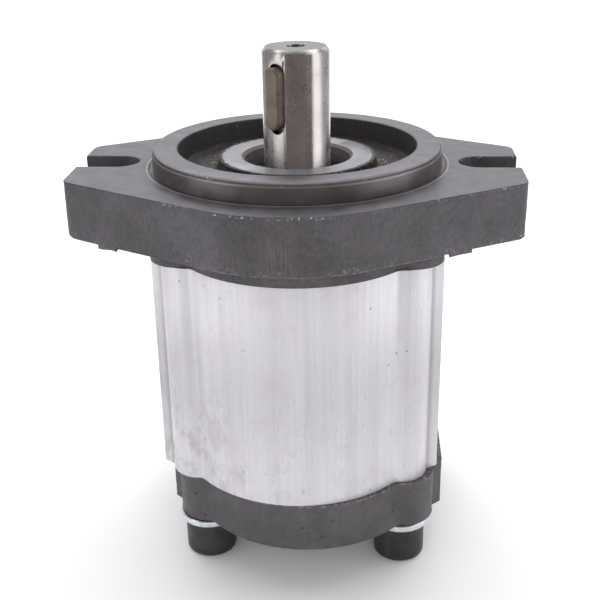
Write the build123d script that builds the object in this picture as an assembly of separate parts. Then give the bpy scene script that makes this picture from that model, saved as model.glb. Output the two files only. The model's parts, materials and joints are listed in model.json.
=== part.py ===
from build123d import *
import math
import os

# Hydraulic gear pump with a two-ear flange, standing on its bolt heads with the shaft up.
# Origin: the shaft axis in the plane of the flange's machined mounting face.
# +Z runs out along the shaft, X through the two ears, +Y towards the driven gear. Millimetres.

# ---- driving dimensions ----
FACE_Z = 0.0
PLATE_T = 15.9
FRONT_JOINT_Z = -25.3
BODY_LEN = 68.4
REAR_JOINT_Z = FRONT_JOINT_Z - BODY_LEN
COVER_T = 15.9
COVER_Z = REAR_JOINT_Z - COVER_T
GEAR_CENTRES = 36.0
MID_Y = GEAR_CENTRES / 2
FIT = 0.05

# outline of the pump body, mirrored about MID_Y
ARC_R = 37.2
ARC_Y = 2.2
PAD_X = 42.4
PAD_FRONT_Y = -10.8
PAD_BEVEL = (3.4, 2.5)
LOBE_X, LOBE_Y, LOBE_R = 30.3, -12.2, 8.9
NOTCH_R = 3.0

# mounting flange
EAR_X = 63.1
EAR_CORNER_R = 4.0
PLATE_ARC_R = 42.0
PLATE_FRONT_ARC_Y = -9.9
PLATE_REAR_ARC_Y = 5.5
FLANK_ANGLE = 30.6
PLATE_EDGE_R = 1.0
REAR_DECK_Z = -8.0
DECK_EDGE_R = 2.0
SKIRT_LOBE_X, SKIRT_LOBE_Y, SKIRT_LOBE_R = 32.6, -10.8, 9.8
BOLT_SPACING = 103.8
SLOT_R = 5.9
PILOT_R = 41.275
PILOT_H = 5.45
PILOT_CHAMFER = 1.0
RELIEF_W, RELIEF_T = 1.3, 0.4
RIM_R = 34.0
RECESS_Z = -1.5
RECESS_DRAFT = 0.6
RECESS_FILLET = 1.5
BOSS_R = 22.4
BOSS_Z = 2.07
PAD_DROP = 0.65
EAR_PADS = ((-53.0, -47.0), (41.5, 48.0))

# shaft seal and its bore in the boss
SEAL_BORE_R = 15.15
SEAL_BORE_Z = -12.0
SEAL_TOP_Z = -4.6
SEAL_BOTTOM_Z = -11.4
CLIP_Z = -4.5
CLIP_T = 1.2
CLIP_GROOVE_R = 16.1
SHAFT_PASSAGE_R = 11.0

# gears and shafts
TEETH = 12
MODULE = 3.0
PRESSURE_ANGLE = 25.0
BACKLASH = 0.12
GEAR_W = 28.0
GEAR_MID_Z = (FRONT_JOINT_Z + REAR_JOINT_Z) / 2
TIP_R = MODULE * (TEETH + 2) / 2
ROOT_R = MODULE * (TEETH - 2.5) / 2
CHAMBER_R = TIP_R + 0.15
JOURNAL_R = 9.525
SHAFT_TOP_Z = 32.7
SHAFT_CHAMFER = (1.0, 1.2)
JOURNAL_END_GAP = 1.4
JOURNAL_CHAMFER = 1.0
CENTRE_DRILL_R = 1.25
CENTRE_DRILL_DEPTH = 6.0
CENTRE_CONE_R = 2.8
CENTRE_HALF_ANGLE = 30.0
KEY_W = 4.7625
KEY_OUTER_R = 11.7
KEY_FLOOR_R = 6.93
KEYWAY_Z = (9.7, 29.1)
KEY_Z = (11.2, 28.3)
KEY_ANGLE = -122.0
KEY_CHAMFER = 0.5

# bearing blocks, bushes and seals
BLOCK_LEN = (BODY_LEN - GEAR_W) / 2 - FIT
BUSH_WALL = 1.5
BUSH_R = JOURNAL_R + FIT + BUSH_WALL
BUSH_LEN = 19.0
BALANCE_R, BALANCE_W, BALANCE_T = 16.6, 2.0, 2.2
BACKUP_W = 1.1
SEAL_RING_R, SEAL_RING_W, SEAL_RING_T = 25.2, 2.0, 1.8
SEAL_GAP = 0.1

# fasteners and pins
BOLT_X, BOLT_Y = 30.0, -12.2
BOLT_SHIFT_X = 1.2
BOLT_R = 4.98
BOLT_HOLE_R = 5.5
THREAD_R = 5.0
BOLT_LEN = 100.0
THREAD_END_Z = -12.0
HEAD_R, HEAD_H, HEAD_EDGE_R = 7.85, 10.0, 1.6
TIP_CHAMFER = 0.8
SOCKET_ACROSS, SOCKET_DEEP = 8.0, 5.5
WASHER_R, WASHER_HOLE_R, WASHER_T = 9.3, 5.3, 2.2
WASHER_EDGE = 0.25
SPRING_R, SPRING_HOLE_R, SPRING_T = 7.9, 5.2, 2.3
SPRING_SPLIT = 1.4
DOWEL_R, DOWEL_LEN = 3.0, 15.0
DOWELS = ((-33.5, 6.0), (33.5, 30.0))

# rear cover
COVER_SHIFT_X = 1.9
COVER_PAD_FRONT_Y = -7.6
COVER_PAD_BEVEL = (3.2, 3.0)
COVER_LOBE_R = 9.3
COVER_EDGE_R = 1.2

# ports: suction on -X, pressure on +X
INLET_R, INLET_LEN, INLET_PASSAGE_R = 12.06, 16.0, 9.5
OUTLET_R, OUTLET_LEN, OUTLET_PASSAGE_R = 9.32, 14.0, 7.0
PORT_CHAMFER = 1.0

PORT_DEEP = 34.0
LOW = (Align.CENTER, Align.CENTER, Align.MIN)


# ---- shared helpers ----
def disc(radius, bottom, top, at=(0, 0)):
    """Upright cylinder from one height to another."""
    return Pos(at[0], at[1], bottom) * Cylinder(radius, top - bottom, align=LOW)


def rod_x(radius, start, end, at):
    """Cylinder along X from one side position to another."""
    middle = Pos((start + end) / 2, at[0], at[1])
    return middle * Rot(0, 90, 0) * Cylinder(radius, abs(end - start))


def prism(face, bottom, top):
    """Sketch face extruded between two heights."""
    return Pos(0, 0, bottom) * extrude(face, top - bottom)


def ring(outer, inner, bottom, top, at=(0, 0)):
    """Plain ring of rectangular section."""
    return disc(outer, bottom, top, at) - disc(inner, bottom, top, at)


def turned(*points):
    """Solid of revolution about Z from points given as radius and height."""
    return revolve(Plane.XZ * Polygon(*points), Axis.Z)


def mirrored_pairs(x, y):
    """The four places of a feature repeated left, right, front and rear."""
    return [(side * x, place) for side in (-1, 1) for place in (y, GEAR_CENTRES - y)]


def eight(radius):
    """Figure-eight face round both gear axes."""
    return Circle(radius) + Pos(0, GEAR_CENTRES) * Circle(radius)


def eight_ring(outer, width, bottom, top):
    """Closed ring of constant width that follows the figure eight."""
    return prism(eight(outer) - eight(outer - width), bottom, top)


def bolt_places():
    """Axes of the four through bolts."""
    return [(x + BOLT_SHIFT_X, y) for x, y in mirrored_pairs(BOLT_X, BOLT_Y)]


def bevelled_pad(front_y, bevel):
    """Side-to-side block of the outline, with its four corners bevelled."""
    across, along = bevel
    right = [(PAD_X - across, front_y - along), (PAD_X, front_y)]
    left = [(-x, y) for x, y in reversed(right)]
    rear = [(x, GEAR_CENTRES - y) for x, y in reversed(left + right)]
    return Polygon(*left, *right, *rear)


def pump_outline(pad, lobe_x, lobe_y, lobe_r):
    """Pump section: two big arcs, a side pad and four bolt lobes, with soft notches."""
    face = pad + Pos(0, ARC_Y) * Circle(ARC_R) + Pos(0, GEAR_CENTRES - ARC_Y) * Circle(ARC_R)
    for place in mirrored_pairs(lobe_x, lobe_y):
        face += Pos(*place) * Circle(lobe_r)
    notches = [
        corner
        for corner in face.vertices()
        if abs(corner.Y - MID_Y) > GEAR_CENTRES and abs(corner.X) < lobe_x
    ]
    return fillet(notches, NOTCH_R)


# ---- castings and body ----
def plate_outline():
    """Flange plate: two big arcs joined to square-ended ears by straight flanks."""
    slope = math.radians(FLANK_ANGLE)
    reach = PLATE_ARC_R * math.sin(slope)
    drop = PLATE_ARC_R * math.cos(slope)
    rise = (EAR_X - reach) * math.tan(slope)
    front_y, rear_y = PLATE_FRONT_ARC_Y - drop, PLATE_REAR_ARC_Y + drop
    right = [(reach, front_y), (EAR_X, front_y + rise), (EAR_X, rear_y - rise), (reach, rear_y)]
    left = [(-x, y) for x, y in reversed(right)]
    ears = Polygon(*right, *left)
    ends = [corner for corner in ears.vertices() if abs(corner.X) > EAR_X - 1]
    ears = fillet(ends, EAR_CORNER_R)
    front = Pos(0, PLATE_FRONT_ARC_Y) * Circle(PLATE_ARC_R)
    return ears + front + Pos(0, PLATE_REAR_ARC_Y) * Circle(PLATE_ARC_R)


def flange_plate():
    """Thick plate of the flange with its underside edge rounded."""
    plate = prism(plate_outline(), FACE_Z - PLATE_T, FACE_Z)
    underside = plate.faces().sort_by(Axis.Z)[0]
    return fillet(underside.edges(), PLATE_EDGE_R)


def ear_pads():
    """Low cast pads left under the two ears, uneven from left to right."""
    pads = Sketch()
    for start, end in EAR_PADS:
        pads += Pos((start + end) / 2, 0) * Rectangle(end - start, 2 * EAR_X)
    return prism(plate_outline() & pads, FACE_Z - PLATE_T - PAD_DROP, FACE_Z - PLATE_T / 2)


def slot_cut(side):
    """Open slot through the end of one ear."""
    centre, mouth = BOLT_SPACING / 2, EAR_X + 1
    slot = Pos(side * centre, 0) * Circle(SLOT_R)
    slot += Pos(side * (centre + mouth) / 2, 0) * Rectangle(mouth - centre, 2 * SLOT_R)
    return prism(slot, FACE_Z - PLATE_T - PAD_DROP - 1, FACE_Z + 1)


def recess_cut():
    """Annular recess between the pilot rim and the boss, and the step down to the boss top."""
    above = PILOT_H + 1
    profile = Polygon(
        (0, above),
        (0, BOSS_Z),
        (BOSS_R, BOSS_Z),
        (BOSS_R + RECESS_DRAFT, RECESS_Z),
        (RIM_R - RECESS_DRAFT, RECESS_Z),
        (RIM_R, PILOT_H),
        (RIM_R, above),
    )
    floor = [corner for corner in profile.vertices() if corner.Y < RECESS_Z + 0.1]
    return revolve(Plane.XZ * fillet(floor, RECESS_FILLET), Axis.Z)


def bore_cut():
    """Seal bore with a chamfered mouth and circlip groove, and the shaft passage under it."""
    mouth = 0.8
    groove = ring(CLIP_GROOVE_R, SEAL_BORE_R - 1, CLIP_Z, CLIP_Z + CLIP_T + 0.1)
    bore = turned(
        (0, BOSS_Z + 1),
        (SEAL_BORE_R + mouth + 1, BOSS_Z + 1),
        (SEAL_BORE_R, BOSS_Z - mouth),
        (SEAL_BORE_R, SEAL_BORE_Z),
        (SHAFT_PASSAGE_R, SEAL_BORE_Z),
        (SHAFT_PASSAGE_R, FRONT_JOINT_Z - 1),
        (0, FRONT_JOINT_Z - 1),
    )
    return bore + groove


def pilot():
    """Round spigot with a chamfered rim."""
    edge = PILOT_CHAMFER
    return turned(
        (0, FACE_Z - 1),
        (PILOT_R, FACE_Z - 1),
        (PILOT_R, PILOT_H - edge),
        (PILOT_R - edge, PILOT_H),
        (0, PILOT_H),
    )


def mounting_flange():
    """Front flange casting with pilot, boss, recess, slots, bolt threads and seal groove."""
    box = Pos(0, MID_Y) * Rectangle(2 * PAD_X, GEAR_CENTRES - 2 * SKIRT_LOBE_Y)
    outline = pump_outline(box, SKIRT_LOBE_X, SKIRT_LOBE_Y, SKIRT_LOBE_R)
    skirt = prism(outline, FRONT_JOINT_Z, REAR_DECK_Z)
    skirt = fillet(skirt.faces().sort_by(Axis.Z)[-1].edges(), DECK_EDGE_R)
    flange = flange_plate() + ear_pads() + skirt
    flange -= ring(PILOT_R + RELIEF_W, PILOT_R, FACE_Z - RELIEF_T, FACE_Z + 1)
    flange += pilot()
    flange -= recess_cut() + bore_cut()
    for side in (-1, 1):
        flange -= slot_cut(side)
    for place in bolt_places():
        flange -= disc(THREAD_R, FRONT_JOINT_Z - 1, THREAD_END_Z, place)
    for place in DOWELS:
        flange -= disc(DOWEL_R, FRONT_JOINT_Z - 1, FRONT_JOINT_Z + DOWEL_LEN / 2 + 0.5, place)
    groove = SEAL_RING_T + SEAL_GAP
    return flange - eight_ring(
        SEAL_RING_R + SEAL_GAP, SEAL_RING_W + 2 * SEAL_GAP, FRONT_JOINT_Z, FRONT_JOINT_Z + groove
    )


def port_cut(side, radius, length, passage):
    """Threaded port in a side pad, and the passage on into the gear chamber."""
    face, place = side * PAD_X, (MID_Y, GEAR_MID_Z)
    cut = rod_x(radius, face + side, face - side * length, place)
    cut += rod_x(passage, face, face - side * PORT_DEEP, place)
    cone = Cone(radius, radius + PORT_CHAMFER + 1, PORT_CHAMFER + 1)
    mouth = Pos(face - side * (PORT_CHAMFER - 1) / 2, MID_Y, GEAR_MID_Z)
    return cut + mouth * Rot(0, side * 90, 0) * cone


def pump_body():
    """Extruded body with the gear chamber, two ports and bolt and dowel holes."""
    outline = pump_outline(bevelled_pad(PAD_FRONT_Y, PAD_BEVEL), LOBE_X, LOBE_Y, LOBE_R)
    body = prism(outline - eight(CHAMBER_R), REAR_JOINT_Z, FRONT_JOINT_Z)
    body -= port_cut(-1, INLET_R, INLET_LEN, INLET_PASSAGE_R)
    body -= port_cut(1, OUTLET_R, OUTLET_LEN, OUTLET_PASSAGE_R)
    for place in bolt_places():
        body -= disc(BOLT_HOLE_R, REAR_JOINT_Z - 1, FRONT_JOINT_Z + 1, place)
    deep = DOWEL_LEN / 2 + 0.5
    for place in DOWELS:
        body -= disc(DOWEL_R, FRONT_JOINT_Z - deep, FRONT_JOINT_Z + 1, place)
        body -= disc(DOWEL_R, REAR_JOINT_Z - 1, REAR_JOINT_Z + deep, place)
    return body


def rear_cover():
    """Thick cast end cover, set a little to +X of the body."""
    pad = bevelled_pad(COVER_PAD_FRONT_Y, COVER_PAD_BEVEL)
    outline = pump_outline(pad, LOBE_X, LOBE_Y, COVER_LOBE_R)
    cover = Pos(COVER_SHIFT_X, 0, 0) * prism(outline, COVER_Z, REAR_JOINT_Z)
    cover = fillet(cover.faces().sort_by(Axis.Z)[0].edges(), COVER_EDGE_R)
    for place in bolt_places():
        cover -= disc(BOLT_HOLE_R, COVER_Z - 1, REAR_JOINT_Z + 1, place)
    for place in DOWELS:
        cover -= disc(DOWEL_R, REAR_JOINT_Z - DOWEL_LEN / 2 - 0.5, REAR_JOINT_Z + 1, place)
    groove = SEAL_RING_T + SEAL_GAP
    return cover - eight_ring(
        SEAL_RING_R + SEAL_GAP, SEAL_RING_W + 2 * SEAL_GAP, REAR_JOINT_Z - groove, REAR_JOINT_Z
    )


# ---- gears, shafts and key ----
def involute(angle):
    """Involute function of an angle in radians."""
    return math.tan(angle) - angle


def tooth_half_angle(radius):
    """Half the angle that one tooth fills at a radius on its involute flank."""
    pitch_r = MODULE * TEETH / 2
    base_r = pitch_r * math.cos(math.radians(PRESSURE_ANGLE))
    at_radius = math.acos(min(1.0, base_r / radius))
    half_pitch = (math.pi * MODULE / 2 - BACKLASH) / (2 * pitch_r)
    return half_pitch + involute(math.radians(PRESSURE_ANGLE)) - involute(at_radius)


def on_circle(radius, angle):
    """Point at a radius and an angle in radians."""
    return (radius * math.cos(angle), radius * math.sin(angle))


def tooth():
    """One gear tooth on +X, from inside the root circle to the tip."""
    base_r = MODULE * TEETH / 2 * math.cos(math.radians(PRESSURE_ANGLE)) + 0.01
    steps = 5
    radii = [base_r + (TIP_R - base_r) * step / steps for step in range(steps + 1)]
    flank = [on_circle(radius, tooth_half_angle(radius)) for radius in radii]
    inner = on_circle(ROOT_R - 1, tooth_half_angle(base_r))
    other = [(x, -y) for x, y in flank]
    outline = [
        Line(inner, flank[0]),
        Spline(*flank),
        ThreePointArc(flank[-1], (TIP_R, 0), other[-1]),
        Spline(*reversed(other)),
        Line(other[0], (inner[0], -inner[1])),
        Line((inner[0], -inner[1]), inner),
    ]
    return make_face(outline)


def gear(turn):
    """Spur gear of the pump, turned by an angle in degrees."""
    face = Circle(ROOT_R)
    for number in range(TEETH):
        face += Rot(0, 0, turn + number * 360 / TEETH) * tooth()
    return prism(face, GEAR_MID_Z - GEAR_W / 2, GEAR_MID_Z + GEAR_W / 2)


def key_blank(width, ends, inner, outer):
    """Round-ended block, radial to the shaft at the key's angle."""
    middle, length = sum(ends) / 2, ends[1] - ends[0]
    plan = Plane((inner, 0, middle), x_dir=(0, 0, 1), z_dir=(1, 0, 0)) * SlotOverall(length, width)
    return extrude(plan, outer - inner)


def drive_gear_shaft():
    """Gear, two journals and the keyed shaft end in one piece."""
    inward, down = SHAFT_CHAMFER
    bottom = REAR_JOINT_Z + JOURNAL_END_GAP
    cone_depth = (CENTRE_CONE_R - CENTRE_DRILL_R) / math.tan(math.radians(CENTRE_HALF_ANGLE))
    drill_end = SHAFT_TOP_Z - CENTRE_DRILL_DEPTH
    shaft = turned(
        (0, bottom),
        (JOURNAL_R - JOURNAL_CHAMFER, bottom),
        (JOURNAL_R, bottom + JOURNAL_CHAMFER),
        (JOURNAL_R, SHAFT_TOP_Z - down),
        (JOURNAL_R - inward, SHAFT_TOP_Z),
        (CENTRE_CONE_R, SHAFT_TOP_Z),
        (CENTRE_DRILL_R, SHAFT_TOP_Z - cone_depth),
        (CENTRE_DRILL_R, drill_end),
        (0, drill_end - CENTRE_DRILL_R / 2),
    )
    keyway = key_blank(KEY_W, KEYWAY_Z, KEY_FLOOR_R, JOURNAL_R + 2)
    return shaft + gear(0) - Rot(0, 0, KEY_ANGLE) * keyway


def driven_gear_shaft():
    """Second gear with its two journals, in mesh with the first."""
    top, bottom = FRONT_JOINT_Z - JOURNAL_END_GAP, REAR_JOINT_Z + JOURNAL_END_GAP
    shaft = turned(
        (0, bottom),
        (JOURNAL_R - JOURNAL_CHAMFER, bottom),
        (JOURNAL_R, bottom + JOURNAL_CHAMFER),
        (JOURNAL_R, top - JOURNAL_CHAMFER),
        (JOURNAL_R - JOURNAL_CHAMFER, top),
        (0, top),
    )
    return Pos(0, GEAR_CENTRES, 0) * (shaft + gear(180 / TEETH))


def shaft_key():
    """Round-ended parallel key, with its outer edge chamfered."""
    key = key_blank(KEY_W, KEY_Z, KEY_FLOOR_R, KEY_OUTER_R)
    outer = key.faces().sort_by(Axis.X)[-1]
    return Rot(0, 0, KEY_ANGLE) * chamfer(outer.edges(), KEY_CHAMFER)


# ---- bearings and seals ----
def bearing_block(front):
    """Figure-eight bearing block, with grooves in its back for the balance rings."""
    joint, toward = (FRONT_JOINT_Z, -1) if front else (REAR_JOINT_Z, 1)
    inner = joint + toward * BLOCK_LEN
    low, high = min(joint, inner), max(joint, inner)
    block = prism(eight(CHAMBER_R - FIT), low, high)
    for y in (0, GEAR_CENTRES):
        block -= disc(BUSH_R, low - 1, high + 1, (0, y))
    groove = joint + toward * (BALANCE_T + SEAL_GAP)
    width = BALANCE_W + BACKUP_W + 3 * SEAL_GAP
    return block - eight_ring(
        BALANCE_R + SEAL_GAP, width, min(joint, groove), max(joint, groove)
    )


def bush(front, y):
    """Plain bearing bush pressed into a block."""
    joint, toward = (FRONT_JOINT_Z, -1) if front else (REAR_JOINT_Z, 1)
    start = joint + toward * (BLOCK_LEN - BUSH_LEN) / 2
    end = start + toward * BUSH_LEN
    return ring(BUSH_R, JOURNAL_R + FIT, min(start, end), max(start, end), (0, y))


def balance_ring(front, outer, width):
    """Flat rings in the grooves on a block's back, one round each bush."""
    joint, toward = (FRONT_JOINT_Z, -1) if front else (REAR_JOINT_Z, 1)
    end = joint + toward * BALANCE_T
    return eight_ring(outer, width, min(joint, end), max(joint, end))


def body_seal(front):
    """Figure-eight seal in the groove of the flange or the cover."""
    joint, toward = (FRONT_JOINT_Z, 1) if front else (REAR_JOINT_Z, -1)
    end = joint + toward * SEAL_RING_T
    return eight_ring(SEAL_RING_R, SEAL_RING_W, min(joint, end), max(joint, end))


def shaft_seal_case():
    """Pressed steel cup of the shaft seal."""
    wall = 1.2
    return turned(
        (SEAL_BORE_R, SEAL_BOTTOM_Z),
        (SEAL_BORE_R, SEAL_TOP_Z),
        (JOURNAL_R + 2.6, SEAL_TOP_Z),
        (JOURNAL_R + 2.6, SEAL_TOP_Z - wall),
        (SEAL_BORE_R - wall, SEAL_TOP_Z - wall),
        (SEAL_BORE_R - wall, SEAL_BOTTOM_Z),
    )


def shaft_seal_lip():
    """Rubber lip of the shaft seal, just clear of the shaft."""
    lip_r = JOURNAL_R + FIT
    return turned(
        (lip_r + 2.5, SEAL_TOP_Z),
        (lip_r + 2.5, SEAL_TOP_Z - 1.3),
        (lip_r + 1.7, SEAL_TOP_Z - 2.4),
        (lip_r + 1.7, SEAL_BOTTOM_Z + 2.2),
        (lip_r + 0.8, SEAL_BOTTOM_Z + 1.2),
        (lip_r, SEAL_BOTTOM_Z + 2.4),
        (lip_r + 0.6, SEAL_TOP_Z - 2.0),
        (lip_r, SEAL_TOP_Z - 0.6),
        (lip_r + 0.5, SEAL_TOP_Z),
    )


def seal_garter_spring():
    """Closed garter spring round the lip."""
    wire = 0.6
    return Pos(0, 0, SEAL_BOTTOM_Z + 3.2) * Torus(JOURNAL_R + FIT + 1.7 + wire + 0.02, wire)


def seal_retaining_ring():
    """Internal circlip with two eyed lugs and a gap between them."""
    clip = ring(CLIP_GROOVE_R - 0.1, SEAL_BORE_R - 1.7, CLIP_Z, CLIP_Z + CLIP_T)
    gap = Pos(0, SEAL_BORE_R, CLIP_Z) * Box(5.0, 8.0, CLIP_T, align=LOW)
    clip -= gap
    for side in (-1, 1):
        place = (side * 4.2, 12.6)
        clip += disc(1.9, CLIP_Z, CLIP_Z + CLIP_T, place)
        clip -= disc(0.9, CLIP_Z - 1, CLIP_Z + CLIP_T + 1, place)
    return clip


# ---- fasteners ----
def through_bolt():
    """Socket-head cap screw with its head down, its seat at the height of the spring washer."""
    seat = COVER_Z - WASHER_T - SPRING_T
    head = fillet(disc(HEAD_R, seat - HEAD_H, seat).faces().sort_by(Axis.Z)[0].edges(), HEAD_EDGE_R)
    shank = disc(BOLT_R, seat, seat + BOLT_LEN)
    shank = chamfer(shank.faces().sort_by(Axis.Z)[-1].edges(), TIP_CHAMFER)
    socket = prism(RegularPolygon(SOCKET_ACROSS / 2, 6, major_radius=False), 0, SOCKET_DEEP)
    return head + shank - Pos(0, 0, seat - HEAD_H) * socket


def spring_washer():
    """Split spring washer, open at its rear."""
    top = COVER_Z - WASHER_T
    washer = ring(SPRING_R, SPRING_HOLE_R, top - SPRING_T, top)
    split = Pos(0, (SPRING_R + SPRING_HOLE_R) / 2, top - SPRING_T / 2)
    return washer - split * Rot(0, 20, 0) * Box(SPRING_SPLIT, 2 * SPRING_SPLIT + 1, 3 * SPRING_T)


def plain_washer():
    """Flat washer with softened edges."""
    washer = ring(WASHER_R, WASHER_HOLE_R, COVER_Z - WASHER_T, COVER_Z)
    circles = washer.edges().filter_by(GeomType.CIRCLE).sort_by(SortBy.RADIUS)
    return chamfer(circles[-2:], WASHER_EDGE)


def at_bolts(shape):
    """The same fastener at each bolt, as separate solids."""
    return Compound(children=[Pos(x, y, 0) * copy_of(shape) for x, y in bolt_places()])


def copy_of(shape):
    """First solid of a shape, on its own."""
    return shape.solids()[0]


def dowels(joint):
    """The two locating pins across one joint face."""
    low, high = joint - DOWEL_LEN / 2, joint + DOWEL_LEN / 2
    radius = DOWEL_R - 0.01
    return Compound(children=[copy_of(disc(radius, low, high, place)) for place in DOWELS])


NODES = {
    "mounting_flange": mounting_flange,
    "pump_body": pump_body,
    "rear_cover": rear_cover,
    "drive_gear_shaft": drive_gear_shaft,
    "driven_gear_shaft": driven_gear_shaft,
    "shaft_key": shaft_key,
    "front_bearing_block": lambda: bearing_block(True),
    "rear_bearing_block": lambda: bearing_block(False),
    "front_drive_bush": lambda: bush(True, 0),
    "front_driven_bush": lambda: bush(True, GEAR_CENTRES),
    "rear_drive_bush": lambda: bush(False, 0),
    "rear_driven_bush": lambda: bush(False, GEAR_CENTRES),
    "front_balance_seal": lambda: balance_ring(True, BALANCE_R, BALANCE_W),
    "rear_balance_seal": lambda: balance_ring(False, BALANCE_R, BALANCE_W),
    "front_backup_ring": lambda: balance_ring(True, BALANCE_R - BALANCE_W - SEAL_GAP, BACKUP_W),
    "rear_backup_ring": lambda: balance_ring(False, BALANCE_R - BALANCE_W - SEAL_GAP, BACKUP_W),
    "front_body_seal": lambda: body_seal(True),
    "rear_body_seal": lambda: body_seal(False),
    "shaft_seal_case": shaft_seal_case,
    "shaft_seal_lip": shaft_seal_lip,
    "seal_garter_spring": seal_garter_spring,
    "seal_retaining_ring": seal_retaining_ring,
    "through_bolts": lambda: at_bolts(through_bolt()),
    "spring_washers": lambda: at_bolts(spring_washer()),
    "plain_washers": lambda: at_bolts(plain_washer()),
    "front_dowels": lambda: dowels(FRONT_JOINT_Z),
    "rear_dowels": lambda: dowels(REAR_JOINT_Z),
}

os.makedirs("parts", exist_ok=True)
for name, build in NODES.items():
    node = build()
    export_step(node, f"parts/{name}.step")
    print(name, len(node.solids()), round(node.volume))
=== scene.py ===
"""Visual model of a hydraulic gear pump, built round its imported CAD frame."""

import json
import logging
import math
import random
from dataclasses import dataclass
from enum import Enum
from functools import reduce
from typing import Any, Callable, Sequence

import bmesh
import bpy
from mathutils import Matrix, Vector, noise


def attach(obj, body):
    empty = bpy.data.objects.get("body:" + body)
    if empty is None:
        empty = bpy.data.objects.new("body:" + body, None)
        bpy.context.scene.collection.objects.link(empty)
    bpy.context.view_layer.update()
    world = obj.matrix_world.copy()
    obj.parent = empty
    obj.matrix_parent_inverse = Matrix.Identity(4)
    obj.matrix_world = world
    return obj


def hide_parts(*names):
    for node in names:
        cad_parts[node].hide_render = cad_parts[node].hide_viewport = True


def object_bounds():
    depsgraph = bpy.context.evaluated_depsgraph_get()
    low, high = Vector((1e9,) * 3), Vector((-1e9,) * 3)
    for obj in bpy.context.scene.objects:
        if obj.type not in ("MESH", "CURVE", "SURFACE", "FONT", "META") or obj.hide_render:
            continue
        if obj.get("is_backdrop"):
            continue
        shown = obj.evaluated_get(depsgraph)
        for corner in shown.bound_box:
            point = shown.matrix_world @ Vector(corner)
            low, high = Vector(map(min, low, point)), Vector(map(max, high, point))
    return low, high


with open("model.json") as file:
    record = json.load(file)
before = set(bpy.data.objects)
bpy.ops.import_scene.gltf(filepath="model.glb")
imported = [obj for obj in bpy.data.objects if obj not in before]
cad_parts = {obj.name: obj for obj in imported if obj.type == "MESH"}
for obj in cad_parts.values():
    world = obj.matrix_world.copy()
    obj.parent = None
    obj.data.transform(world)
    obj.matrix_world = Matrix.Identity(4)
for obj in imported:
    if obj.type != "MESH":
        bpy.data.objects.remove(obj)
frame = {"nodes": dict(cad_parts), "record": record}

LOG = logging.getLogger("gear_pump")
MM = 0.001
HOUSING = "housing"
Socket = bpy.types.NodeSocket
Value = float | bpy.types.NodeSocket
Thing = bpy.types.Object
Material = bpy.types.Material
Mesh = bmesh.types.BMesh
Face = bmesh.types.BMFace
Edge = bmesh.types.BMEdge
Vert = bmesh.types.BMVert
Colour = tuple[float, float, float]
Span = tuple[float, float]
EVEN: Colour = (1.0, 1.0, 1.0)
WELD_GAP = 2e-6
CUT_GAP = 1e-6
NEAR = 0.02
SHARP_ANGLE = 50.0
EDGE_WIDTHS = {
    "pump_body": 0.3,
    "drive_gear_shaft": 0.12,
    "shaft_key": 0.08,
    "plain_washers": 0.1,
    "spring_washers": 0.15,
}


class Grain(Enum):
    """Which way a finish's fine marks run."""

    NONE = "none"
    ALONG_Z = "along the pump's axis"
    ROUND_Z = "round the pump's axis"


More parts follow.
